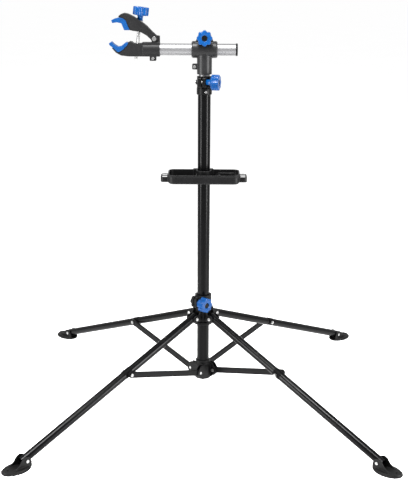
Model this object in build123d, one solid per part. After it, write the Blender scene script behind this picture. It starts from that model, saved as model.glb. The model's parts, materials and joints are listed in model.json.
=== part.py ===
from build123d import *
import os
from math import asin, atan2, cos, degrees, hypot, radians, sin, tan

# Folding work stand that holds a bicycle by its seat post.  Millimetres, +Z up.
# The floor is Z = 0 and the mast stands over the origin.  The boom lies along X with the
# claw at the -X end.  The four legs stand on the diagonals.

os.makedirs("parts", exist_ok=True)

# ---------------------------------------------------------------- driving dimensions
# tubes: outside radius and wall
MAST_R = 19.0
INNER_R = 16.0
BOOM_R = 17.0
LEG_R = 12.3
TUBE_WALL = 1.5

# heights
FOOT_PIVOT_Z = 22.0
HUB_BOTTOM_Z = 60.0
MAST_TOP_Z = 990.0
COLLAR_ABOVE_MAST = 23.0
HEAD_GAP = 6.0
BOOM_ABOVE_HEAD = 71.0
TRAY_Z = 701.0

# folding frame
LEG_LENGTH = 690.0
LEG_SLOPE = 20.9
LEG_PIVOT_OUT = 25.4
BRACE_HUB_OUT = 14.1
BRACE_HUB_Z = 87.0
BRACE_SHARE = 0.4215
BRACE_THICK = 8.0
BRACE_HIGH = 18.0

# feet
PAD_LONG = 90.0
PAD_WIDE = 62.0
PAD_THICK = 8.0
PAD_SHIFT = 26.0
PAD_STEP = 3.5
PAD_HOLE_R = 3.0
PAD_HOLE_INSET = 17.0

# boom and claw
BOOM_LEFT = -172.0
BOOM_RIGHT = 92.0
JAW_HALF = 15.0
SPINDLE_LEAN = 6.6
SPINDLE_R = 5.0

# tray
TRAY_LONG = 212.0
TRAY_FRONT = -70.0
TRAY_BACK = 28.0
TRAY_HIGH = 28.0
TRAY_WALL = 3.0
TAB_OUT = 23.0

# hand knobs
KNOB_R = 23.0
KNOB_THICK = 24.0
STUD_R = 4.0

# clearances
RUN = 0.08
SEAT = 0.1
GAP = 0.3

# ---------------------------------------------------------------- dependent sizes
LEG_PIVOT_R = MAST_R + LEG_PIVOT_OUT
BRACE_HUB_R = MAST_R + BRACE_HUB_OUT
LEG_PIVOT_Z = FOOT_PIVOT_Z + LEG_LENGTH * sin(radians(LEG_SLOPE))
BRACE_AT = BRACE_SHARE * LEG_LENGTH
BRACE_TOP_R = LEG_PIVOT_R + BRACE_AT * cos(radians(LEG_SLOPE))
BRACE_TOP_Z = LEG_PIVOT_Z - BRACE_AT * sin(radians(LEG_SLOPE))
BRACE_SLOPE = degrees(atan2(BRACE_TOP_Z - BRACE_HUB_Z, BRACE_TOP_R - BRACE_HUB_R))
BRACE_LENGTH = hypot(BRACE_TOP_R - BRACE_HUB_R, BRACE_TOP_Z - BRACE_HUB_Z)
SADDLE_R = LEG_R + 1.1
BRACE_SIDE = SADDLE_R + GAP + BRACE_THICK / 2
BORE_R = MAST_R + GAP
COLLAR_TOP_Z = MAST_TOP_Z + COLLAR_ABOVE_MAST
HEAD_Z = COLLAR_TOP_Z + HEAD_GAP
BOOM_Z = HEAD_Z + BOOM_ABOVE_HEAD


# ---------------------------------------------------------------- small makers
def rod(r, z0, z1, x=0.0, y=0.0):
    return Pos(x, y, (z0 + z1) / 2) * Cylinder(r, z1 - z0)


def rod_x(r, x0, x1, z):
    return Pos((x0 + x1) / 2, 0, z) * Rot(0, 90, 0) * Cylinder(r, x1 - x0)


def rod_y(r, y0, y1, x, z):
    return Pos(x, (y0 + y1) / 2, z) * Rot(90, 0, 0) * Cylinder(r, y1 - y0)


def block(x0, x1, y0, y1, z0, z1):
    return Pos((x0 + x1) / 2, (y0 + y1) / 2, (z0 + z1) / 2) * Box(x1 - x0, y1 - y0, z1 - z0)


def ring(r_out, r_in, z0, z1):
    return rod(r_out, z0, z1) - rod(r_in, z0 - 1, z1 + 1)


def plate_xz(points, y0, y1, corner=0.0):
    """A flat plate standing in the XZ plane, from its outline."""
    face = make_face(Polyline(*[(x, z) for x, z in points], close=True))
    if corner:
        face = fillet(face.vertices(), corner)
    return Pos(0, y1, 0) * Rot(90, 0, 0) * extrude(face, y1 - y0)


def slot_plate(length, high, y0, y1, x0=0.0):
    """A bar along +X with round ends centred on x0 and x0 + length."""
    face = Pos(x0 + length / 2, 0) * SlotCenterToCenter(length, high)
    return Pos(0, y1, 0) * Rot(90, 0, 0) * extrude(face, y1 - y0)


def turned(shape, angle):
    return Rot(0, 0, angle) * shape


def screw(r, length, head_r, head_high):
    """Socket-head screw along Z: shank below 0, head above."""
    head = chamfer(rod(head_r, 0, head_high).edges().sort_by(Axis.Z)[-1], 0.15 * head_high)
    socket = Pos(0, 0, 0.55 * head_high) * extrude(RegularPolygon(0.5 * head_r, 6), head_high)
    return rod(r, -length, 0) + head - socket


def nut(r_hole, across, high):
    """Hexagon nut along Z, standing on 0."""
    body = extrude(RegularPolygon(across / 2, 6, major_radius=False), high)
    return body - rod(r_hole, -1, high + 1)


def star_knob(shank_r, shank_long):
    """Eight-lobed hand knob: back face on 0, shank below, recess in the front."""
    face = Circle(KNOB_R)
    for spot in PolarLocations(1.13 * KNOB_R, 8):
        face -= spot * Circle(0.27 * KNOB_R)
    face = fillet(face.vertices(), 2.2)
    body = extrude(face, KNOB_THICK)
    body = chamfer(body.edges().group_by(Axis.Z)[-1], 1.6)
    body += rod(shank_r, -shank_long, 2)
    body -= rod(0.37 * KNOB_R, KNOB_THICK - 5, KNOB_THICK + 1)
    return body


def clamp_ears(reach, half, gap, z0, z1, root, hole_z, offset):
    """Two ears along +X from a split band, with the clamping bolt along Y."""
    ears = fillet(block(root, reach, -half, half, z0, z1).edges().filter_by(Axis.Y).group_by(Axis.X)[-1], 6)
    ears -= block(root - 1, reach + 1, -gap / 2, gap / 2, z0 - 1, z1 + 1)
    return ears - rod_y(STUD_R + 0.3, -half - 1, half + 1, offset, hole_z)


def save(shape, name):
    solids = shape.solids() if hasattr(shape, "solids") else shape
    if len(solids) > 1:
        shape = Compound(children=list(solids))
    elif len(solids) == 1:
        shape = solids[0]
    export_step(shape, f"parts/{name}.step")


# ---------------------------------------------------------------- mast
save(ring(MAST_R, MAST_R - TUBE_WALL, HUB_BOTTOM_Z + 6, MAST_TOP_Z), "mast_tube")

# foot hub of the mast: a cup with an eye for each brace, set beside the leg it serves
HUB_R = MAST_R + 6.0
HUB_RING_R = MAST_R + 4.0
HUB_BODY_TOP = HUB_BOTTOM_Z + 48.0
HUB_TOP = HUB_BODY_TOP + 12.0
EAR_INNER = BRACE_THICK / 2 + 0.35
EAR_OUTER = EAR_INNER + 2.7
EYE_R = 13.0
PIN_R = 4.0
LEGS = {"front_right": -45, "back_right": 45, "back_left": 135, "front_left": -135}

lower_hub = rod(HUB_R, HUB_BOTTOM_Z, HUB_BODY_TOP) + rod(HUB_RING_R, HUB_BODY_TOP, HUB_TOP)
lower_pins = []
for angle in LEGS.values():
    for low, high in ((-EAR_OUTER, -EAR_INNER), (EAR_INNER, EAR_OUTER)):
        y0, y1 = BRACE_SIDE + low, BRACE_SIDE + high
        ear = plate_xz(
            [
                (0, BRACE_HUB_Z - 2 * EYE_R + 2),
                (BRACE_HUB_R - 8, BRACE_HUB_Z - 2 * EYE_R + 2),
                (BRACE_HUB_R + 0.8 * EYE_R, BRACE_HUB_Z - 0.6 * EYE_R),
                (BRACE_HUB_R + 0.9 * EYE_R, BRACE_HUB_Z + 0.43 * EYE_R),
                (BRACE_HUB_R - 2, HUB_BODY_TOP + 2),
                (0, HUB_BODY_TOP + 2),
            ],
            y0,
            y1,
            2,
        )
        ear += rod_y(EYE_R, y0, y1, BRACE_HUB_R, BRACE_HUB_Z)
        lower_hub += turned(ear, angle)
    hole = rod_y(PIN_R + SEAT, BRACE_SIDE - 12, BRACE_SIDE + 12, BRACE_HUB_R, BRACE_HUB_Z)
    lower_hub -= turned(hole, angle)
    pin = screw(PIN_R, EAR_OUTER * 2 + 0.2, 5.2, 2.4)
    pin = Pos(BRACE_HUB_R, BRACE_SIDE - EAR_OUTER - 0.1, BRACE_HUB_Z) * Rot(90, 0, 0) * pin
    lower_pins.append(turned(pin, angle))
lower_hub -= rod(MAST_R + SEAT, HUB_BOTTOM_Z + 6, HUB_TOP + 1)
lower_hub -= rod(7, HUB_BOTTOM_Z - 1, HUB_BOTTOM_Z + 7)
save(lower_hub, "lower_hub")
save(Compound(children=lower_pins), "lower_hub_bolts")

# ---------------------------------------------------------------- height clamp at the mast top
COLLAR_Z = MAST_TOP_Z - 31.0
COLLAR_R = MAST_R + 3.5
COLLAR_BOLT_Z = COLLAR_TOP_Z - 15.0
COLLAR_BOLT_OFF = COLLAR_R + 3.9
COLLAR_TURN = -103.0
EAR_HALF = 12.0
SPLIT = 3.0
SHANK_R = 8.5

collar = rod(COLLAR_R, COLLAR_Z, COLLAR_Z + 19) + rod(COLLAR_R - 0.8, COLLAR_Z + 19, COLLAR_TOP_Z)
collar = chamfer(collar.edges().sort_by(Axis.Z)[0], 1.8)
ear_low, ear_high = COLLAR_TOP_Z - 30, COLLAR_TOP_Z - 1
ears = clamp_ears(COLLAR_R + 14, EAR_HALF, SPLIT, ear_low, ear_high, MAST_R - 1, COLLAR_BOLT_Z, COLLAR_BOLT_OFF)
collar = collar + turned(ears, COLLAR_TURN)
collar -= rod(MAST_R + SEAT, COLLAR_Z - 1, MAST_TOP_Z + 1)
collar -= rod(INNER_R + RUN, MAST_TOP_Z, COLLAR_TOP_Z + 1)
collar -= turned(rod_y(SHANK_R + GAP, EAR_HALF, EAR_HALF + 40, COLLAR_BOLT_OFF, COLLAR_BOLT_Z), COLLAR_TURN)
collar -= turned(block(0, COLLAR_R + 20, -SPLIT / 2, SPLIT / 2, COLLAR_Z + 20, COLLAR_TOP_Z + 1), COLLAR_TURN)
COLLAR_SCREW = Pos(0, 0, COLLAR_Z + 9.5) * Rot(0, 0, -78) * Pos(COLLAR_R - 0.4, 0, 0) * Rot(0, 90, 0)
collar -= COLLAR_SCREW * (rod(2.1, -6, 4) + rod(3.7, 0, 6))
save(collar, "height_collar")
save(COLLAR_SCREW * screw(2.0, COLLAR_R - MAST_R - 0.6, 3.6, 2.0), "collar_screw")


def clamp_set(name, turn, offset, z, knob_from):
    """Knob, stud and nut of one split clamp; the stud runs across the ears."""
    place = Rot(0, 0, turn) * Pos(offset, 0, z) * Rot(-90, 0, 0)
    shank = knob_from - EAR_HALF - GAP
    knob = star_knob(SHANK_R, shank) - rod(STUD_R + 0.05, -shank - 1, 12)
    save(place * Pos(0, 0, knob_from) * knob, name + "_knob")
    save(place * rod(STUD_R, -EAR_HALF - 9, knob_from + 11.5), name + "_stud")
    save(place * Pos(0, 0, -EAR_HALF - 6.6) * nut(STUD_R + 0.05, 13, 6.5), name + "_nut")


clamp_set("collar", COLLAR_TURN, COLLAR_BOLT_OFF, COLLAR_BOLT_Z, 28.0)

# ---------------------------------------------------------------- telescoping inner tube
INNER_BOTTOM = 135.0
INNER_TOP = HEAD_Z + 42.0
bush_top = INNER_BOTTOM + 30
save(ring(INNER_R, INNER_R - TUBE_WALL, INNER_BOTTOM, INNER_TOP), "inner_tube")
save(ring(MAST_R - TUBE_WALL - 0.1, INNER_R + SEAT, INNER_BOTTOM + 2, bush_top), "guide_bush")

# ---------------------------------------------------------------- T-shaped head
HEAD_HALF = 36.0
LINER_R = BOOM_R + 2.4
SLEEVE_R = LINER_R + 5.0
SOCKET_R = INNER_R + 6.0
HEAD_BOLT_UP = 35.0
head = rod_x(SLEEVE_R, -HEAD_HALF, HEAD_HALF, BOOM_Z) + rod(SOCKET_R, HEAD_Z, BOOM_Z)
head = chamfer(head.edges().group_by(Axis.X)[0] + head.edges().group_by(Axis.X)[-1], 1.2)
lugs = plate_xz(
    [
        (-HEAD_HALF + 4, BOOM_Z + 8),
        (-17, BOOM_Z + HEAD_BOLT_UP + 11),
        (17, BOOM_Z + HEAD_BOLT_UP + 11),
        (HEAD_HALF - 4, BOOM_Z + 8),
    ],
    -EAR_HALF,
    EAR_HALF,
    5,
)
side_ear = fillet(block(-36, -10, -9, 9, HEAD_Z + 14, HEAD_Z + 30).edges().filter_by(Axis.Y).group_by(Axis.X)[0], 3)
head = head + lugs + side_ear
head -= rod_x(LINER_R + GAP, -HEAD_HALF - 1, HEAD_HALF + 1, BOOM_Z)
head -= rod(INNER_R + RUN, HEAD_Z - 1, INNER_TOP + 1)
head -= block(-HEAD_HALF - 1, HEAD_HALF + 1, -SPLIT / 2, SPLIT / 2, BOOM_Z, BOOM_Z + 80)
head -= block(-40, 0, -1.2, 1.2, HEAD_Z - 1, HEAD_Z + 34)
head -= rod_y(STUD_R + GAP, -20, 20, 0, BOOM_Z + HEAD_BOLT_UP)
SIDE_X, SIDE_Z = -29.0, HEAD_Z + 22
head -= rod_y(2.7, -20, 20, SIDE_X, SIDE_Z)
save(head, "t_head")
side = Pos(SIDE_X, -9.1, SIDE_Z) * Rot(90, 0, 0) * screw(2.5, 23, 4.4, 3.2)
side_nut = Pos(SIDE_X, 13.2, SIDE_Z) * Rot(90, 0, 0) * nut(2.55, 8, 4)
save(Compound(children=[side, side_nut]), "head_side_screw")

place = Pos(0, 0, BOOM_Z + HEAD_BOLT_UP) * Rot(90, 0, 0)
head_shank = 12.5
save(place * Pos(0, 0, 25) * (star_knob(SHANK_R, head_shank) - rod(STUD_R + 0.05, -20, 12)), "head_knob")
save(place * rod(STUD_R, -EAR_HALF - 9, 36.5), "head_stud")
save(place * Pos(0, 0, -EAR_HALF - 6.6) * nut(STUD_R + 0.05, 13, 6.5), "head_nut")

# split nylon liner between head and boom
liner = rod_x(LINER_R, -HEAD_HALF - 0.5, HEAD_HALF + 0.5, BOOM_Z)
for side_x in (-1, 1):
    edge = side_x * (HEAD_HALF + GAP)
    liner += rod_x(LINER_R + 2.6, min(edge, edge + 1.5 * side_x), max(edge, edge + 1.5 * side_x), BOOM_Z)
liner -= rod_x(BOOM_R + RUN, -60, 60, BOOM_Z)
liner -= block(-60, 60, -1, 1, BOOM_Z, BOOM_Z + 40)
save(liner, "boom_liner")

# ---------------------------------------------------------------- boom
boom = rod_x(BOOM_R, BOOM_LEFT, BOOM_RIGHT, BOOM_Z)
save(boom - rod_x(BOOM_R - TUBE_WALL, BOOM_LEFT - 1, BOOM_RIGHT + 1, BOOM_Z), "boom_tube")
cap = rod_x(BOOM_R + 1.2, BOOM_RIGHT + 0.05, BOOM_RIGHT + 5, BOOM_Z)
cap = fillet(cap.edges().group_by(Axis.X)[-1], 1.6)
cap += rod_x(BOOM_R - TUBE_WALL - SEAT, BOOM_RIGHT - 16, BOOM_RIGHT + 1, BOOM_Z)
cap -= rod_x(BOOM_R - TUBE_WALL - 2.5, BOOM_RIGHT - 17, BOOM_RIGHT + 2, BOOM_Z)
save(cap, "boom_end_cap")

# ---------------------------------------------------------------- claw, lower jaw
# claw outlines are (x, height over CLAW_Z), which lies CLAW_SUNK under the top of the boom sleeve
JAW_RIGHT = BOOM_LEFT + 42.0
JAW_R = BOOM_R + 2.9
CLAW_SUNK = 19.9
CLAW_Z = BOOM_Z + JAW_R - CLAW_SUNK
JAW_FLOOR = CLAW_SUNK - 2 * JAW_R
JAW_BOLT_Z = BOOM_Z - JAW_R - 5.0
JAW_BOLT_X = JAW_RIGHT - 20.5
PIVOT_X, PIVOT_UP, PIVOT_EYE = JAW_RIGHT - 16.5, 31.0, 9.6
NUT_X, NUT_UP, NUT_R = JAW_RIGHT - 67.8, -4.0, 8.0
FORK_HALF = 6.7
SLOT_HALF = SPINDLE_R + 0.8


def up(points):
    return [(x, CLAW_Z + z) for x, z in points]


LOW_PAD = [(-278, 17), (-271, 22), (-262.5, 14), (-252, 7.5), (-243, 9), (-229, 20.5), (-221.5, 20), (-224, 13)]
LOW_SEAT = [(-236, 1), (-248, -7.5), (-253, -7.5), (-265, 3.5)]
low_outline = [(-221.5, 20), (-218, 23), (-211, 22), (-206, 17.5), (-200, 17.5), (-184.6, 17.5), (-180, 20.5)]
low_outline += [(JAW_RIGHT, 20.5), (JAW_RIGHT, JAW_FLOOR), (-222, JAW_FLOOR), (-243, -17.5), (-258, -9.5), (-270, 4)]
save(plate_xz(up(LOW_PAD + LOW_SEAT + [(-276, 12)]), -17, 17), "lower_pad")
lower_jaw = plate_xz(up(low_outline + LOW_SEAT[::-1] + [(-224, 13)]), -JAW_HALF, JAW_HALF)
lower_jaw += rod_x(JAW_R, BOOM_LEFT - 8, JAW_RIGHT, BOOM_Z)
lug = [(PIVOT_X - 8, 15), (PIVOT_X - 7, 36), (PIVOT_X, 41.5), (JAW_RIGHT, 39), (JAW_RIGHT, 15)]
lower_jaw += plate_xz(up(lug), -FORK_HALF, FORK_HALF)
bolt_lug = [(-9.5, 12.2), (-9.5, -7.8), (9.5, -7.8), (9.5, 12.2)]
lower_jaw += plate_xz([(JAW_BOLT_X + x, JAW_BOLT_Z + z) for x, z in bolt_lug], -10, 10, 2)
lower_jaw -= rod_x(BOOM_R + SEAT, BOOM_LEFT - 0.5, JAW_RIGHT + 1, BOOM_Z)
lower_jaw -= block(JAW_BOLT_X - 15.5, JAW_RIGHT + 1, -1.2, 1.2, BOOM_Z - 60, BOOM_Z - 10)
lower_jaw -= rod_y(PIN_R + SEAT, -30, 30, PIVOT_X, CLAW_Z + PIVOT_UP)
lower_jaw -= rod_y(NUT_R + RUN, -JAW_HALF + 3, JAW_HALF + 1, NUT_X, CLAW_Z + NUT_UP)
lower_jaw -= block(NUT_X - 9, NUT_X + 11.5, -SLOT_HALF, SLOT_HALF, BOOM_Z - 40, BOOM_Z + 40)
lower_jaw -= rod_y(2.8, -30, 30, JAW_BOLT_X, JAW_BOLT_Z)
save(lower_jaw, "lower_jaw")
jaw_screw = Pos(JAW_BOLT_X, -10.1, JAW_BOLT_Z) * Rot(90, 0, 0) * screw(2.5, 25, 4.4, 3.2)
jaw_nut = Pos(JAW_BOLT_X, 14.3, JAW_BOLT_Z) * Rot(90, 0, 0) * nut(2.55, 8, 4)
save(Compound(children=[jaw_screw, jaw_nut]), "jaw_clamp_screw")
pin = screw(PIN_R, 2 * JAW_HALF + 0.2, 6.2, 2.6)
pin = Pos(PIVOT_X, -JAW_HALF - 0.1, CLAW_Z + PIVOT_UP) * Rot(90, 0, 0) * pin
pin += rod_y(6.2, JAW_HALF + 0.1, JAW_HALF + 2.6, PIVOT_X, CLAW_Z + PIVOT_UP)
save(pin, "jaw_pin")

# ---------------------------------------------------------------- claw, upper jaw
TOP_SEAT = [(-216.5, 55), (-222, 66), (-228, 82), (-236, 88.5), (-247, 91)]
TOP_PAD = [(-262, 87), (-270, 83), (-267, 75), (-253, 77), (-241, 74.5), (-233, 55)]
top_outline = TOP_SEAT + [(-250, 94), (-243, 100), (-233, 103.5), (-222, 101.5), (-207, 94.5), (-190.5, 84.5)]
top_outline += [(-168.5, 68), (-152, 51), (PIVOT_X + 8, 39), (PIVOT_X + 9, PIVOT_UP), (PIVOT_X, PIVOT_UP - 5)]
top_outline += [(PIVOT_X - 8.5, PIVOT_UP - 3), (-168, 40), (-186, 50), (-207, 53)]
save(plate_xz(up(TOP_SEAT + TOP_PAD), -17, 17), "upper_pad")
upper_jaw = plate_xz(up(top_outline), -JAW_HALF, JAW_HALF)
upper_jaw += rod_y(PIVOT_EYE, -JAW_HALF, JAW_HALF, PIVOT_X, CLAW_Z + PIVOT_UP)
upper_jaw -= block(-168, JAW_RIGHT + 20, -FORK_HALF - GAP, FORK_HALF + GAP, BOOM_Z, BOOM_Z + 90)
upper_jaw -= rod_y(PIN_R + RUN, -30, 30, PIVOT_X, CLAW_Z + PIVOT_UP)

LEAN = Pos(NUT_X, 0, CLAW_Z + NUT_UP) * Rot(0, SPINDLE_LEAN, 0)
SEAT_UP = 87.0
WASHER_R = 9.0
pocket = Pos(0, 0, SEAT_UP) * Rot(90, 0, 0) * Cylinder(WASHER_R + 0.9, 20)
pocket += Pos(0, 0, SEAT_UP + 20) * Box(2 * WASHER_R + 5, 20, 40)
upper_jaw -= LEAN * pocket
upper_jaw -= LEAN * Pos(2, 0, 60) * Box(28, 2 * SLOT_HALF, 70)
save(upper_jaw, "upper_jaw")

washer = Pos(0, 0, SEAT_UP) * Rot(90, 0, 0) * Cylinder(WASHER_R, 19)
washer -= Pos(0, 0, SEAT_UP + 20) * Box(40, 40, 40)
washer -= rod(SPINDLE_R + GAP, 0, 200)
save(LEAN * washer, "claw_washer")
barrel = rod_y(NUT_R, -JAW_HALF + 3.1, JAW_HALF - 1, 0, 0)
save(LEAN * (barrel - rod(SPINDLE_R + RUN, -20, 20)), "barrel_nut")
CLAW_KNOB_UP = SEAT_UP + 14.5
save(LEAN * rod(SPINDLE_R, -25, CLAW_KNOB_UP + 11), "spindle")
claw_knob = star_knob(8.0, CLAW_KNOB_UP - SEAT_UP - GAP) - rod(SPINDLE_R + 0.05, -20, 11.5)
save(LEAN * Pos(0, 0, CLAW_KNOB_UP) * claw_knob, "claw_knob")

# ---------------------------------------------------------------- sliding leg hub
HUB_CORE_R = MAST_R + 7.0
CLEVIS_IN = LEG_R + 0.5
CLEVIS_OUT = 17.0
CLEVIS_EYE = 11.6
LEG_HUB_BOLT_Z = LEG_PIVOT_Z + 50
LEG_HUB_TOP = LEG_PIVOT_Z + 70
leg_hub = rod(HUB_CORE_R + 4, LEG_PIVOT_Z - 26, LEG_PIVOT_Z - 16)
leg_hub = chamfer(leg_hub.edges(), 1.2) + rod(HUB_CORE_R, LEG_PIVOT_Z - 17, LEG_HUB_TOP)
leg_bolts = []
for angle in LEGS.values():
    for side in (-1, 1):
        y0, y1 = sorted((side * CLEVIS_IN, side * CLEVIS_OUT))
        ear = block(0, LEG_PIVOT_R, y0, y1, LEG_PIVOT_Z - CLEVIS_EYE, LEG_PIVOT_Z + CLEVIS_EYE)
        ear += rod_y(CLEVIS_EYE, y0, y1, LEG_PIVOT_R, LEG_PIVOT_Z)
        ear += plate_xz(
            [(0, LEG_PIVOT_Z), (LEG_PIVOT_R - 6, LEG_PIVOT_Z), (HUB_CORE_R, LEG_PIVOT_Z + 30), (0, LEG_PIVOT_Z + 30)], y0, y1
        )
        leg_hub += turned(ear, angle)
    leg_hub -= turned(rod_y(PIN_R + SEAT, -30, 30, LEG_PIVOT_R, LEG_PIVOT_Z), angle)
    bolt = Pos(LEG_PIVOT_R, -CLEVIS_OUT - 0.1, LEG_PIVOT_Z) * Rot(90, 0, 0) * screw(PIN_R, 2 * CLEVIS_OUT + 0.2, 5.2, 2.4)
    bolt += rod_y(5.2, CLEVIS_OUT + 0.1, CLEVIS_OUT + 2.5, LEG_PIVOT_R, LEG_PIVOT_Z)
    leg_bolts.append(turned(bolt, angle))
HUB_TURN = -135.0
HUB_BOLT_OFF = HUB_CORE_R + 6.5
ear_low, ear_high = LEG_PIVOT_Z + 33, LEG_HUB_TOP - 2
ears = clamp_ears(HUB_BOLT_OFF + 9, EAR_HALF, SPLIT, ear_low, ear_high, MAST_R - 1, LEG_HUB_BOLT_Z, HUB_BOLT_OFF)
leg_hub += turned(ears, HUB_TURN)
leg_hub -= rod(BORE_R, 0, LEG_HUB_TOP + 50)
leg_hub -= turned(block(0, 60, -SPLIT / 2, SPLIT / 2, LEG_PIVOT_Z + 31, LEG_HUB_TOP + 1), HUB_TURN)
save(leg_hub, "leg_hub")
save(Compound(children=leg_bolts), "leg_hub_bolts")
clamp_set("hub", HUB_TURN, HUB_BOLT_OFF, LEG_HUB_BOLT_Z, HUB_CORE_R + 0.8)

# ---------------------------------------------------------------- legs, feet and braces
LEG_END = 9.0
FOOT_BOLT_R = 3.0
CHEEK_IN = LEG_R + 0.5
CHEEK_OUT = 16.6
BRACE_BOLT_R = 3.5


def along_leg(shape):
    """From a frame whose +X runs down the leg from its pivot."""
    return Pos(LEG_PIVOT_R, 0, LEG_PIVOT_Z) * Rot(0, LEG_SLOPE, 0) * shape


def along_brace(shape):
    """From a frame whose +X runs up the brace from its lower pin."""
    return Pos(BRACE_HUB_R, BRACE_SIDE, BRACE_HUB_Z) * Rot(0, -BRACE_SLOPE, 0) * shape


leg = rod_x(LEG_R, -12, LEG_LENGTH + LEG_END, 0) - rod_x(LEG_R - TUBE_WALL, -13, LEG_LENGTH + LEG_END + 1, 0)
leg -= rod_y(PIN_R + RUN, -30, 30, 0, 0)
leg -= rod_y(BRACE_BOLT_R + SEAT, -30, 30, BRACE_AT, 0)
leg -= rod_y(FOOT_BOLT_R + SEAT, -30, 30, LEG_LENGTH, 0)

saddle = rod_x(SADDLE_R, BRACE_AT - 13, BRACE_AT + 13, 0) - rod_x(LEG_R + SEAT, BRACE_AT - 20, BRACE_AT + 20, 0)
saddle -= block(BRACE_AT - 20, BRACE_AT + 20, -20, 20, -20, -8)
saddle -= rod_y(BRACE_BOLT_R + SEAT, -30, 30, BRACE_AT, 0)

stub = rod_y(BRACE_BOLT_R, -SADDLE_R - 5, LEG_R + 0.7, BRACE_AT, 0)
stub_nut = Pos(BRACE_AT, -SADDLE_R - 0.1, 0) * Rot(90, 0, 0) * nut(BRACE_BOLT_R - 0.5, 9.6, 3.6)
foot_bolt = Pos(LEG_LENGTH, -CHEEK_OUT - 0.1, 0) * Rot(90, 0, 0) * screw(FOOT_BOLT_R, 2 * CHEEK_OUT + 0.2, 4.5, 2.0)
foot_bolt += rod_y(4.5, CHEEK_OUT + 0.1, CHEEK_OUT + 2.1, LEG_LENGTH, 0)

brace = slot_plate(BRACE_LENGTH, BRACE_HIGH, -BRACE_THICK / 2, BRACE_THICK / 2)
brace = chamfer(brace.edges().group_by(Axis.Y)[0] + brace.edges().group_by(Axis.Y)[-1], 0.8)
brace -= rod_y(PIN_R + RUN, -30, 30, 0, 0)
brace -= rod_y(BRACE_BOLT_R + SEAT, -30, 30, BRACE_LENGTH, 0)
brace_bolt = Pos(BRACE_LENGTH, BRACE_THICK / 2 + 0.1, 0) * Rot(-90, 0, 0) * screw(BRACE_BOLT_R, BRACE_THICK - 0.1, 5.0, 2.6)

pad_x = PAD_SHIFT
leg_sweep = hypot(LEG_END, LEG_R)
foot = Pos(pad_x, 0, 0) * extrude(Ellipse(PAD_LONG / 2, PAD_WIDE / 2), 0.55 * PAD_THICK)
foot = chamfer(foot.edges().group_by(Axis.Z)[-1], 0.8)
foot_step = extrude(Ellipse(PAD_LONG / 2 - PAD_STEP, PAD_WIDE / 2 - PAD_STEP), PAD_THICK)
foot += Pos(pad_x, 0, 0) * chamfer(foot_step.edges().group_by(Axis.Z)[-1], 1.2)
foot_profile = [(-15, 3), (-14, 20), (-8, 32), (4, 35), (13, 31), (22, 20), (33, 12), (42, 9.5), (44, 3)]
foot_mound = plate_xz(foot_profile, -CHEEK_OUT, CHEEK_OUT, 1.5)
foot_mound -= block(0, 60, -CHEEK_IN, CHEEK_IN, PAD_THICK, 60)
foot += foot_mound
foot -= block(-60, leg_sweep + 1.8, -CHEEK_IN, CHEEK_IN, FOOT_PIVOT_Z - leg_sweep - 1.2, 60)
foot -= rod(PAD_HOLE_R, -1, 40, pad_x + PAD_LONG / 2 - PAD_HOLE_INSET, 0)
foot -= rod_y(FOOT_BOLT_R + RUN, -40, 40, 0, FOOT_PIVOT_Z)
foot = Pos(LEG_PIVOT_R + LEG_LENGTH * cos(radians(LEG_SLOPE)), 0, 0) * foot

for name, angle in LEGS.items():
    save(turned(along_leg(leg), angle), f"leg_{name}")
    save(turned(along_leg(saddle), angle), f"saddle_{name}")
    bolts = [turned(along_leg(piece), angle) for piece in (stub, stub_nut, foot_bolt)]
    save(Compound(children=bolts), f"leg_bolts_{name}")
    save(turned(along_brace(brace), angle), f"brace_{name}")
    save(turned(along_brace(brace_bolt), angle), f"brace_bolt_{name}")
    save(turned(foot, angle), f"foot_{name}")

# ---------------------------------------------------------------- tool tray
half = TRAY_LONG / 2
top = TRAY_Z + TRAY_HIGH
floor_top = TRAY_Z + TRAY_WALL
outer = fillet(block(-half, half, TRAY_FRONT, TRAY_BACK, TRAY_Z, top).edges().filter_by(Axis.Z), 18)
inner = block(-half + TRAY_WALL, half - TRAY_WALL, TRAY_FRONT + TRAY_WALL, TRAY_BACK - TRAY_WALL, floor_top, top + 1)
inner = fillet(inner.edges().filter_by(Axis.Z), 15)
lip = block(-half - 1.5, half + 1.5, TRAY_FRONT - 1.5, TRAY_BACK + 1.5, top - 5, top)
lip = fillet(lip.edges().filter_by(Axis.Z), 19.5)
tray = chamfer(outer.edges().group_by(Axis.Z)[0], 4) + chamfer(lip.edges().group_by(Axis.Z)[0], 1.2)

# raised shelf with a round cup at the back right, and a short rib by the mast
CUP_R = 23.0
CUP_X = 72.0
CUP_Y = -1.5
SHELF_TOP = TRAY_Z + 17.0
shelf = plate_xz([(30, TRAY_Z), (half, TRAY_Z), (half, SHELF_TOP), (44, SHELF_TOP), (30, TRAY_Z + 6)], CUP_Y - CUP_R - 3, TRAY_BACK)
shelf -= rod(CUP_R, floor_top, top, CUP_X, CUP_Y)
post = rod(BORE_R + 3.5, TRAY_Z, top + 3) + block(-32, 28, 12, TRAY_BACK + 1.5, TRAY_Z, top + 3)
rib = block(-24, -21, TRAY_FRONT + 1, 14, TRAY_Z + 1, top - 8)
tray = tray - inner + (shelf & outer) + post + rib

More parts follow.
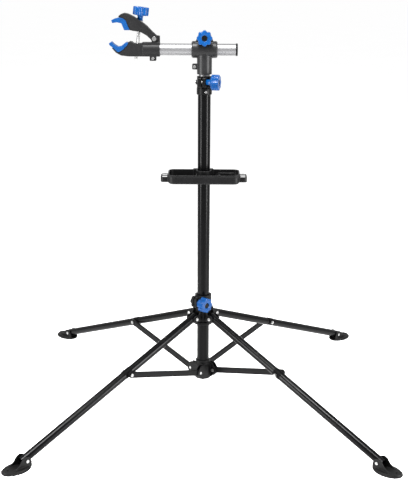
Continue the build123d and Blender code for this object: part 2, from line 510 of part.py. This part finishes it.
# end tabs: slotted plates that tools drop through, skirted at the end and front
tabs = block(-half - TAB_OUT, half + TAB_OUT, -48, 6, TRAY_Z + 3, TRAY_Z + 19)
tabs = fillet(tabs.edges().filter_by(Axis.Z), 9)
for side in (-1, 1):
    for y in (-33.5, -8.5):
        tabs -= Pos(side * (half + 11.5), y, TRAY_Z) * extrude(Rectangle(15, 21), 40)
    under = block(-half - TAB_OUT + 3, -half + 9, -45, 30, TRAY_Z - 1, TRAY_Z + 16)
    under = fillet(under.edges().filter_by(Axis.Z), 6)
    tabs -= under if side < 0 else mirror(under, Plane.YZ)
tabs -= block(-half + 1, half - 1, -60, 60, TRAY_Z - 1, top)
tray += tabs
tray -= rod(BORE_R, TRAY_Z - 1, top + 5)
tray -= rod_y(2.6, BORE_R - 2, TRAY_BACK + 3, 0, TRAY_Z + 14)
save(tray, "tray")
screw_seat = TRAY_BACK + 1.6
save(Pos(0, screw_seat, TRAY_Z + 14) * Rot(-90, 0, 0) * screw(2.5, screw_seat - MAST_R - 0.4, 5, 4), "tray_screw")
magnet = rod(CUP_R - 4, floor_top + SEAT, floor_top + 3, CUP_X, CUP_Y)
save(chamfer(magnet.edges().group_by(Axis.Z)[-1], 0.8), "tray_magnet")
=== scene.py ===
# %% [markdown]
# # A folding work stand for bicycles
# The stand is already built as solid parts. This lesson dresses them: it loads the parts, gives each one a
# finish, and swaps the moulded pieces for softer meshes. Everything is in metres, the feet stand at zero, and
# +Z is up.

# %% Load the parts
import bmesh
import bpy
import json
from math import cos, pi, radians, sin
from mathutils import Matrix, Vector


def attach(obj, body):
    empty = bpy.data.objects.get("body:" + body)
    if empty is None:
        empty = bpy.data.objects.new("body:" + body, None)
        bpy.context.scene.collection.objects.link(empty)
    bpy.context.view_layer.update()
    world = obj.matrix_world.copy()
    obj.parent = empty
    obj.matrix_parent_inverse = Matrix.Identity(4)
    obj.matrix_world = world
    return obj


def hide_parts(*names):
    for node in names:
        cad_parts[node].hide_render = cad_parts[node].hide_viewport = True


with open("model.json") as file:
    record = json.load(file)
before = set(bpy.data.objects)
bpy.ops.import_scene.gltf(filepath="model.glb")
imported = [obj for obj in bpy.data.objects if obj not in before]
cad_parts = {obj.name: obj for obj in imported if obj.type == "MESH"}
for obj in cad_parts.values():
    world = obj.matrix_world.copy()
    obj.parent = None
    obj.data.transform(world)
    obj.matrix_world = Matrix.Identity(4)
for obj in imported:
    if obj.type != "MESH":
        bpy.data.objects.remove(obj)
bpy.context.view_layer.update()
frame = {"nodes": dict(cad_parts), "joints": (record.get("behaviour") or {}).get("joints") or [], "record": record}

nodes = frame["nodes"]
joints = {joint["name"]: joint for joint in frame["joints"]}
body_of = {node: body for body, members in frame["record"]["behaviour"]["bodies"].items() for node in members}
slot_of = {part["node"]: part["material_slot"] for part in frame["record"]["subparts"]}
MM = 0.001

# %% [markdown]
# ## Sockets that behave like numbers
# A finish is a small sum: roughness is a base value plus a little noise. In a node tree each plus sign is a
# node. This class wraps a socket so that the sum can be written as Python, and the nodes appear by themselves.


# %% A socket you can do sums with
def plug(target, value):
    if isinstance(value, Wire):
        target.id_data.links.new(value.socket, target)
    else:
        target.default_value = value


class Wire:
    def __init__(self, socket):
        self.socket = socket

    def maths(self, operation, *values):
        node = self.socket.id_data.nodes.new("ShaderNodeMath")
        node.operation = operation
        for target, value in zip(node.inputs, values):
            plug(target, value)
        return Wire(node.outputs[0])

    def __add__(self, other):
        return self.maths("ADD", self, other)

    def __sub__(self, other):
        return self.maths("SUBTRACT", self, other)

    def __rsub__(self, other):
        return self.maths("SUBTRACT", other, self)

    def __mul__(self, other):
        return self.maths("MULTIPLY", self, other)

    __radd__ = __add__
    __rmul__ = __mul__


# %% A finish: one material and the nodes that feed it
class Finish:
    def __init__(self, name, **constants):
        self.material = bpy.data.materials.new(name)
        self.material.use_nodes = True
        self.tree = self.material.node_tree
        self.shader = self.tree.nodes["Principled BSDF"]
        self.feed(**constants)

    def node(self, kind, settings=None, sockets=None, out=0):
        made = self.tree.nodes.new(kind)
        for key, value in (settings or {}).items():
            if key == "stops":
                for stop, (place, shade) in zip(made.color_ramp.elements, value):
                    stop.position, stop.color = place, (shade, shade, shade, 1)
            else:
                setattr(made, key, value)
        for key, value in (sockets or {}).items():
            plug(made.inputs[key], value)
        return Wire(made.outputs[out])

    def feed(self, **values):
        for key, value in values.items():
            plug(self.shader.inputs[key.replace("_", " ")], value)

    def place(self, stretch=(1, 1, 1)):
        """Object coordinates, in metres, stretched along the axes."""
        here = self.node("ShaderNodeTexCoord", out=3)
        return self.node("ShaderNodeMapping", {}, {"Vector": here, "Scale": stretch})

    def grain(self, size, stretch=(1, 1, 1), detail=2.0):
        """Noise from 0 to 1 whose lumps are about size across."""
        sockets = {"Vector": self.place(stretch), "Scale": 0.5 / size, "Detail": detail}
        return self.node("ShaderNodeTexNoise", {}, sockets)

    def band(self, value, low, high):
        """Stretches the part of value between low and high to 0..1."""
        return self.node("ShaderNodeValToRGB", {"stops": ((low, 0.0), (high, 1.0))}, {0: value})

    def blend(self, factor, one, other):
        start, end = (shade if isinstance(shade, Wire) else (*shade, 1) for shade in (one, other))
        return self.node("ShaderNodeMix", {"data_type": "RGBA"}, {0: factor, 6: start, 7: end}, out=2)

    def bump(self, height, depth, strength=1.0):
        sockets = {"Height": height, "Distance": depth, "Strength": strength}
        self.feed(Normal=self.node("ShaderNodeBump", {}, sockets))


print("sums on sockets are ready")

# %% [markdown]
# ## Powder coat on the steel tubes
# The mast, legs and braces are steel tube with a black powder coat. Baked powder never lies quite flat: it has
# a fine "orange peel" that breaks up a highlight. Broad, faint patches of colour and gloss stop the long tubes
# looking like plastic, and handling leaves a few duller smears. A low refractive index keeps the rims of the
# black tubes dark against pale surroundings.


# %% Make the powder coat
def powder_coat(name, dark, light, gloss):
    coat = Finish(name, IOR=1.16, Specular_IOR_Level=0.5)
    peel = coat.grain(0.9 * MM)
    patch = coat.grain(45 * MM, detail=4.0)
    smear = coat.band(coat.grain(14 * MM, (1, 1, 0.3), 5.0), 0.52, 0.72)
    speck = coat.band(coat.grain(0.55 * MM, detail=0.0), 0.70, 0.76)
    coat.feed(Base_Color=coat.blend(0.7 * patch + 0.3 * speck, dark, light))
    coat.feed(Roughness=gloss + 0.06 * patch + 0.08 * smear)
    coat.bump(peel + 0.4 * speck, 0.03 * MM, 0.4)
    return coat.material


tube_coat = powder_coat("tube_powder_coat", (0.0005, 0.0005, 0.0006), (0.0018, 0.0018, 0.0020), 0.18)
brace_coat = powder_coat("brace_powder_coat", (0.0008, 0.0008, 0.0009), (0.0030, 0.0030, 0.0033), 0.30)

# %% [markdown]
# ## Spark-grained plastic
# Hubs, head, claw, tray and feet are moulded in black plastic. The mould is spark-eroded, which leaves a tight
# pebbled grain. Corners rub smooth and pale first, and the same pale edges are also a painted highlight along
# the rims and ribs. Both come from the curvature of the mesh.


# %% Make the moulded plastics
# Colour of the pale edges: rubbed plastic, and also a painted highlight along rims and ribs.
RUBBED_AND_HIGHLIT_EDGE = (0.05, 0.05, 0.052)


def moulded_black(name, dark, light, rough, pebble, shine=0.5, edge_wear_and_highlight=0.6):
    plastic = Finish(name, IOR=1.18, Specular_IOR_Level=shine)
    pebbles = plastic.node("ShaderNodeTexVoronoi", {}, {"Vector": plastic.place(), "Scale": 1 / pebble})
    cloud = plastic.grain(18 * MM, detail=4.0)
    # Edge mask from curvature: partly rubbed wear, partly a painted highlight on the rims.
    wear_and_highlight_edge = plastic.band(plastic.node("ShaderNodeNewGeometry", out=7), 0.53, 0.62)
    scuff = plastic.band(plastic.grain(3 * MM, (1, 1, 0.25), 4.0), 0.6, 0.8)
    tone = 0.55 * cloud + 0.35 * wear_and_highlight_edge + 0.15 * scuff
    plastic.feed(Base_Color=plastic.blend(edge_wear_and_highlight * wear_and_highlight_edge, plastic.blend(tone, dark, light), RUBBED_AND_HIGHLIT_EDGE))
    plastic.feed(Roughness=rough + 0.12 * cloud + 0.08 * scuff - 0.10 * wear_and_highlight_edge)
    plastic.bump(pebbles + 0.5 * cloud, 0.07 * MM, 0.5)
    return plastic.material


hub_black = moulded_black(
    "hub_moulded_black", (0.0006, 0.0006, 0.0007), (0.0035, 0.0035, 0.0037), 0.34, pebble=0.7 * MM, edge_wear_and_highlight=0.2
)
head_black = moulded_black(
    "head_moulded_black", (0.006, 0.006, 0.0063), (0.014, 0.014, 0.0145), 0.32, pebble=0.8 * MM, shine=1.0
)
claw_black = moulded_black(
    "claw_moulded_black", (0.003, 0.003, 0.0033), (0.012, 0.012, 0.0125), 0.42, pebble=0.8 * MM, shine=0.8
)
tray_black = moulded_black(
    "tray_moulded_black", (0.0012, 0.0012, 0.0013), (0.0060, 0.0060, 0.0064), 0.38, pebble=0.9 * MM, shine=0.65
)
saddle_black = moulded_black(
    "saddle_moulded_black",
    (0.0006, 0.0006, 0.0007),
    (0.0025, 0.0025, 0.0027),
    0.50,
    pebble=0.7 * MM,
    shine=0.15,
    edge_wear_and_highlight=0.0,
)
foot_black = moulded_black(
    "foot_rubber_black", (0.0012, 0.0012, 0.0012), (0.0060, 0.0060, 0.0060), 0.44, pebble=1.1 * MM, shine=0.65
)
print("six moulded blacks")

# %% [markdown]
# ## Blue plastics
# The knobs are hard, glossy blue plastic with faint flow lines, and the claw pads are the same blue in a
# softer, duller grade that grips the tube. Handling polishes the knobs unevenly.


# %% Make the blues
def blue(name, deep, bright, rough, coat_weight):
    skin = Finish(name, Specular_IOR_Level=0.16, Coat_Weight=coat_weight, Coat_Roughness=0.12)
    flow = skin.grain(7 * MM, (1, 1, 2.5), 4.0)
    rub = skin.band(skin.grain(2.2 * MM, detail=4.0), 0.5, 0.75)
    fine = skin.grain(0.5 * MM)
    skin.feed(Base_Color=skin.blend(flow, deep, bright))
    skin.feed(Roughness=rough + 0.12 * rub)
    skin.bump(0.6 * flow + 0.4 * fine, 0.05 * MM, 0.4)
    return skin.material


knob_blue = blue("knob_blue", (0.0004, 0.016, 0.070), (0.0008, 0.050, 0.185), 0.22, 0.04)
pad_blue = blue("pad_blue", (0.0004, 0.018, 0.072), (0.0008, 0.045, 0.165), 0.40, 0.0)

# %% [markdown]
# ## Bare metals
# The sliding tube and the boom are satin aluminium, drawn along their length, so their scratches run that way:
# the noise is stretched along the tube. Screws are zinc plated, which is bright but blotchy.


# %% Make the metals
SCRATCH_STRETCH = 0.02


def drawn_tube(name, along, dark, light):
    metal = Finish(name, Metallic=1.0)
    squeeze = [1.0, 1.0, 1.0]
    squeeze[along] = SCRATCH_STRETCH
    line = metal.grain(0.35 * MM, tuple(squeeze), 3.0)
    haze = metal.grain(25 * MM, detail=3.0)
    metal.feed(Base_Color=metal.blend(0.5 * line + 0.5 * haze, dark, light))
    metal.feed(Roughness=0.42 + 0.05 * line + 0.06 * haze)
    metal.bump(line, 0.005 * MM, 0.3)
    return metal.material


def zinc_plate(name, rough):
    metal = Finish(name, Metallic=1.0)
    spangle = metal.node("ShaderNodeTexVoronoi", {}, {"Vector": metal.place(), "Scale": 700.0})
    cloud = metal.grain(2 * MM, detail=3.0)
    metal.feed(Base_Color=metal.blend(cloud, (0.24, 0.24, 0.24), (0.44, 0.44, 0.435)))
    metal.feed(Roughness=rough + 0.18 * cloud)
    metal.bump(0.5 * spangle + 0.5 * cloud, 0.03 * MM, 0.4)
    return metal.material


mast_silver = drawn_tube("inner_tube_satin_aluminium", 2, (0.090, 0.090, 0.092), (0.120, 0.120, 0.122))
boom_silver = drawn_tube("boom_satin_aluminium", 2, (0.175, 0.175, 0.179), (0.205, 0.205, 0.209))
screw_zinc = zinc_plate("screw_zinc_plate", 0.20)
thread_zinc = zinc_plate("thread_zinc_plate", 0.26)
magnet_steel = drawn_tube("magnet_brushed_steel", 0, (0.100, 0.100, 0.102), (0.130, 0.130, 0.132))

# %% Put a finish on every part
finishes = {
    "mast_paint": tube_coat,
    "leg_paint": tube_coat,
    "brace_paint": brace_coat,
    "head_paint": head_black,
    "silver_tube": boom_silver,
    "hub_plastic": hub_black,
    "jaw_plastic": claw_black,
    "blue_pad": pad_blue,
    "blue_knob": knob_blue,
    "tray_plastic": tray_black,
    "foot_plastic": foot_black,
    "saddle_plastic": saddle_black,
    "cap_plastic": hub_black,
    "nylon": head_black,
    "zinc": screw_zinc,
    "black_hardware": hub_black,
    "zinc_thread": thread_zinc,
    "magnet_steel": magnet_steel,
}
for node, part in nodes.items():
    finish = mast_silver if node == "inner_tube" else finishes[slot_of[node]]
    if not part.material_slots:
        part.data.materials.append(finish)
    for slot in part.material_slots:
        slot.material = finish
print("finishes on", len(nodes), "parts")

# %% [markdown]
# ## Rounding the moulded pieces
# A moulding has no sharp edge: the mould is cut with a round tool, and plastic shrinks. A voxel remesh turns
# each solid into an even skin, and a few rounds of smoothing then melt the edges by about a millimetre, the way
# a real moulding looks. The size stays, because only edges move.


# %% Soften a moulding
def soften(node, voxel, rounds):
    source = nodes[node]
    piece = bpy.data.objects.new("soft_" + node, source.data.copy())
    bpy.context.scene.collection.objects.link(piece)
    remesh = piece.modifiers.new("skin", "REMESH")
    remesh.mode, remesh.voxel_size, remesh.adaptivity = "VOXEL", voxel, 0.0
    melt = piece.modifiers.new("melt", "SMOOTH")
    melt.factor, melt.iterations = 0.5, rounds
    graph = bpy.context.evaluated_depsgraph_get()
    mesh = bpy.data.meshes.new_from_object(piece.evaluated_get(graph))
    piece.modifiers.clear()
    piece.data = mesh
    mesh.materials.clear()
    mesh.materials.append(finishes[slot_of[node]])
    mesh.polygons.foreach_set("use_smooth", [True] * len(mesh.polygons))
    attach(piece, body_of[node])
    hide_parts(node)
    return piece


mouldings = {
    "t_head": 1.0,
    "height_collar": 0.9,
    "leg_hub": 1.0,
    "lower_hub": 1.0,
    "lower_jaw": 0.9,
    "upper_jaw": 0.9,
    "lower_pad": 0.8,
    "upper_pad": 0.8,
    "tray": 1.1,
}
mouldings.update({node: 0.8 for node in nodes if node.startswith("foot_")})
for node, voxel in mouldings.items():
    made = soften(node, voxel * MM, rounds=3)
    print(made.name, len(made.data.polygons), "faces")

# %% [markdown]
# ## Star knobs
# Each knob is an eight-lobed star that fingers fit between. It is built as rings: one star-shaped outline
# repeated up the height, pulled in a little at top and bottom for the rounded rims, then circles for the sunk
# centre. A dark cap sits in the centre over the end of the stud.


# %% Rings joined into a skin
def skin_of_rings(name, rings, finish, hollow=False):
    mesh = bpy.data.meshes.new(name)
    shape = bmesh.new()
    rows = [[shape.verts.new(point) for point in ring] for ring in rings]
    for low, high in zip(rows, rows[1:] + rows[:1] if hollow else rows[1:]):
        for i in range(len(low)):
            j = (i + 1) % len(low)
            shape.faces.new((low[i], low[j], high[j], high[i]))
    if not hollow:
        shape.faces.new(rows[0][::-1])
        shape.faces.new(rows[-1])
    shape.to_mesh(mesh)
    shape.free()
    mesh.polygons.foreach_set("use_smooth", [True] * len(mesh.polygons))
    mesh.materials.append(finish)
    piece = bpy.data.objects.new(name, mesh)
    bpy.context.scene.collection.objects.link(piece)
    return piece


def along_axis(joint):
    """A matrix whose Z runs along the joint's axis from the joint's point, and that point and axis."""
    point, axis = Vector(joints[joint].get("pos_m", (0, 0, 0))), Vector(joints[joint]["axis"]).normalized()
    return Matrix.Translation(point) @ axis.to_track_quat("Z", "Y").to_matrix().to_4x4(), point, axis


def reach(node, point, axis):
    """How far a part goes along an axis, and its greatest distance from it."""
    offsets = [vertex.co - point for vertex in nodes[node].data.vertices]
    heights = [offset.dot(axis) for offset in offsets]
    radii = [(offset - axis * offset.dot(axis)).length for offset in offsets]
    return min(heights), max(heights), max(radii)


# %% Make the four knobs
KNOB_HIGH = 24 * MM
LOBES, AROUND = 8, 128
LOBE_DEPTH = 3.6 * MM
RIM = 2.6 * MM
SHANK_FLARE = 4 * MM


def star_ring(radius, inset, height):
    ring = []
    for i in range(AROUND):
        turn = 2 * pi * i / AROUND
        wave = (0.5 + 0.5 * cos(LOBES * turn)) ** 0.8
        out = radius - inset - LOBE_DEPTH * (1 - wave)
        ring.append((out * cos(turn), out * sin(turn), height))
    return ring


def round_ring(radius, height):
    turns = [2 * pi * i / AROUND for i in range(AROUND)]
    return [(radius * cos(turn), radius * sin(turn), height) for turn in turns]


def star_knob(node, joint, shank_radius):
    place, point, axis = along_axis(joint)
    low, top, radius = reach(node, point, axis)
    back = top - KNOB_HIGH
    curve = [radians(15 * k) for k in range(7)]
    rings = [round_ring(shank_radius, low), round_ring(shank_radius, back - SHANK_FLARE)]
    rings += [round_ring(shank_radius + SHANK_FLARE * 0.35, back - SHANK_FLARE * 0.25)]
    rings += [star_ring(radius, RIM + 5 * MM, back)]
    rings += [star_ring(radius, RIM * (1 - sin(a)), back + RIM * (1 - cos(a))) for a in curve]
    rings += [star_ring(radius, RIM * (1 - cos(a)), top - RIM * (1 - sin(a))) for a in curve]
    rings += [star_ring(radius, RIM + 2.5 * MM, top)]
    well = 0.37 * radius
    rings += [round_ring(well + 1.2 * MM, top - 0.5 * MM), round_ring(well + 0.3 * MM, top - 1.0 * MM)]
    rings += [round_ring(well, top - 2.0 * MM), round_ring(well, top - 4.8 * MM)]
    rings += [round_ring(1 * MM, top - 4.9 * MM)]
    knob = skin_of_rings("star_" + node, rings, knob_blue)
    knob.matrix_world = place
    cap_rings = [round_ring(well - 0.25 * MM, top - 4.7 * MM), round_ring(well - 0.25 * MM, top - 2.6 * MM)]
    cap_rings += [round_ring(well - 0.9 * MM, top - 2.0 * MM), round_ring(well * 0.5, top - 1.6 * MM)]
    cap_rings += [round_ring(0.4 * MM, top - 1.5 * MM)]
    cap = skin_of_rings("cap_" + node, cap_rings, hub_black)
    cap.matrix_world = place
    for piece, slot in ((knob, "blue_knob"), (cap, "cap_plastic")):
        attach(piece, body_of[node])
    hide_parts(node)
    return knob


star_knob("claw_knob", "claw_knob_turn", 8.0 * MM)
for name in ("head_knob", "collar_knob", "hub_knob"):
    star_knob(name, name + "_turn", 8.5 * MM)
print("four knobs with", LOBES, "lobes")

# %% [markdown]
# ## Clean tubes
# The three straight tubes carry the longest highlights, so each gets an even skin: rings up the outside, over a
# small rounded end and back down the bore. A second ring close to each end keeps the shading flat along the
# length.


# %% Skin the straight tubes
def straight_tube(node, joint, finish):
    place, point, axis = along_axis(joint)
    low, high, outer = reach(node, point, axis)
    offsets = [vertex.co - point for vertex in nodes[node].data.vertices]
    inner = min((offset - axis * offset.dot(axis)).length for offset in offsets)
    edge = 0.35 * MM
    rise = [(edge, 0), (0, edge), (0, 3 * edge)]
    wall = [(outer - inset, low + up) for inset, up in rise]
    wall += [(outer - inset, high - down) for inset, down in rise[::-1]]
    wall += [(inner + inset, high - down) for inset, down in rise]
    wall += [(inner + inset, low + up) for inset, up in rise[::-1]]
    tube = skin_of_rings("even_" + node, [round_ring(*ring) for ring in wall], finish, hollow=True)
    tube.matrix_world = place
    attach(tube, body_of[node])
    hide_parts(node)
    print(node, "outside", round(2 * outer / MM, 1), "mm, bore", round(2 * inner / MM, 1), "mm")


straight_tube("mast_tube", "head_swivel", tube_coat)
straight_tube("inner_tube", "head_swivel", mast_silver)
straight_tube("boom_tube", "boom_turn", boom_silver)

# %% [markdown]
# ## The claw's threaded spindle
# A thread is a ridge that climbs as it turns. On a grid of rings the ridge is a wave in the radius whose phase
# moves with the angle, so one sum makes the whole helix.

# %% Cut the thread
PITCH, THREAD_DEPTH = 2.0 * MM, 0.9 * MM
THREAD_AROUND = 24
place, point, axis = along_axis("claw_knob_turn")
low, high, rod = reach("spindle", point, axis)
rings = []
steps = int((high - low) / (PITCH / 6))
for k in range(steps + 1):
    height = low + (high - low) * k / steps
    ring = []
    for i in range(THREAD_AROUND):
        turn = 2 * pi * i / THREAD_AROUND
        climb = (height / PITCH - i / THREAD_AROUND) % 1.0
        tooth = abs(2 * climb - 1)
        taper = min(1.0, k / 9, (steps - k) / 9)
        out = rod - THREAD_DEPTH * (1 - tooth) * taper - THREAD_DEPTH * (1 - taper)
        ring.append((out * cos(turn), out * sin(turn), height))
    rings.append(ring)
spindle = skin_of_rings("threaded_spindle", rings, thread_zinc)
spindle.matrix_world = place
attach(spindle, body_of["spindle"])
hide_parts("spindle")
print("thread of", round((high - low) / PITCH), "turns")

# %% [markdown]
# ## Floor, light and camera
# The stand is set over a plain white floor. A soft box on each side reaches down low, so that the black mast
# carries two long highlights, and one overhead draws a line along the boom and the legs. When the legs fold they
# reach below standing height, so the floor lies 150 mm lower and never hides the feet. The camera is a long lens
# a little above the top of the stand, looking down.

# %% The white floor
FLOOR_DROP = 150 * MM
floor_mesh = bpy.data.meshes.new("studio_floor")
shape = bmesh.new()
bmesh.ops.create_grid(shape, x_segments=2, y_segments=2, size=60)
shape.to_mesh(floor_mesh)
shape.free()
floor = bpy.data.objects.new("studio_floor", floor_mesh)
bpy.context.scene.collection.objects.link(floor)
floor.location.z = -FLOOR_DROP
paper = Finish("studio_paper", Roughness=0.9, Specular_IOR_Level=0.0)
paper.feed(Base_Color=paper.blend(paper.grain(0.4, detail=2.0), (0.98, 0.98, 0.98), (1.0, 1.0, 1.0)))
floor_mesh.materials.append(paper.material)


# %% Soft lights
def soft_box(name, spot, aim, size, power):
    lamp = bpy.data.lights.new(name, "AREA")
    lamp.shape, lamp.size, lamp.size_y, lamp.energy = "RECTANGLE", size[0], size[1], power
    holder = bpy.data.objects.new(name, lamp)
    bpy.context.scene.collection.objects.link(holder)
    holder.location = spot
    holder.rotation_euler = (Vector(aim) - Vector(spot)).to_track_quat("-Z", "Y").to_euler()
    return holder


soft_box("top_box", (-0.3, -0.85, 3.0), (0, 0, 0.3), (0.8, 0.8), 165)
soft_box("left_box", (-1.9, -1.15, 0.75), (0, 0, 0.55), (0.5, 1.4), 75)
soft_box("right_box", (1.9, -1.15, 0.75), (0, 0, 0.55), (0.5, 1.4), 95)
world = bpy.data.worlds.new("studio")
world.use_nodes = True
world.node_tree.nodes["Background"].inputs["Color"].default_value = (1, 1, 1, 1)
world.node_tree.nodes["Background"].inputs["Strength"].default_value = 1.0
bpy.context.scene.world = world
bpy.context.scene.view_settings.view_transform = "Standard"

# %% Camera
FOCAL, LONG_SIDE = 975.8, 481
camera_data = bpy.data.cameras.new("camera")
camera_data.lens = 36 * FOCAL / LONG_SIDE
camera_data.sensor_width = 36
camera_data.shift_x = -0.8 / LONG_SIDE
camera_data.clip_end = 150
camera = bpy.data.objects.new("camera", camera_data)
bpy.context.scene.collection.objects.link(camera)
look_down, roll = 15.51, 0.324
turn = Matrix.Rotation(radians(90 - look_down), 4, "X") @ Matrix.Rotation(radians(roll), 4, "Z")
camera.matrix_world = Matrix.Translation((0.004, -2.898, 1.315)) @ turn
bpy.context.scene.camera = camera
print("camera lens", round(camera_data.lens, 1), "mm")
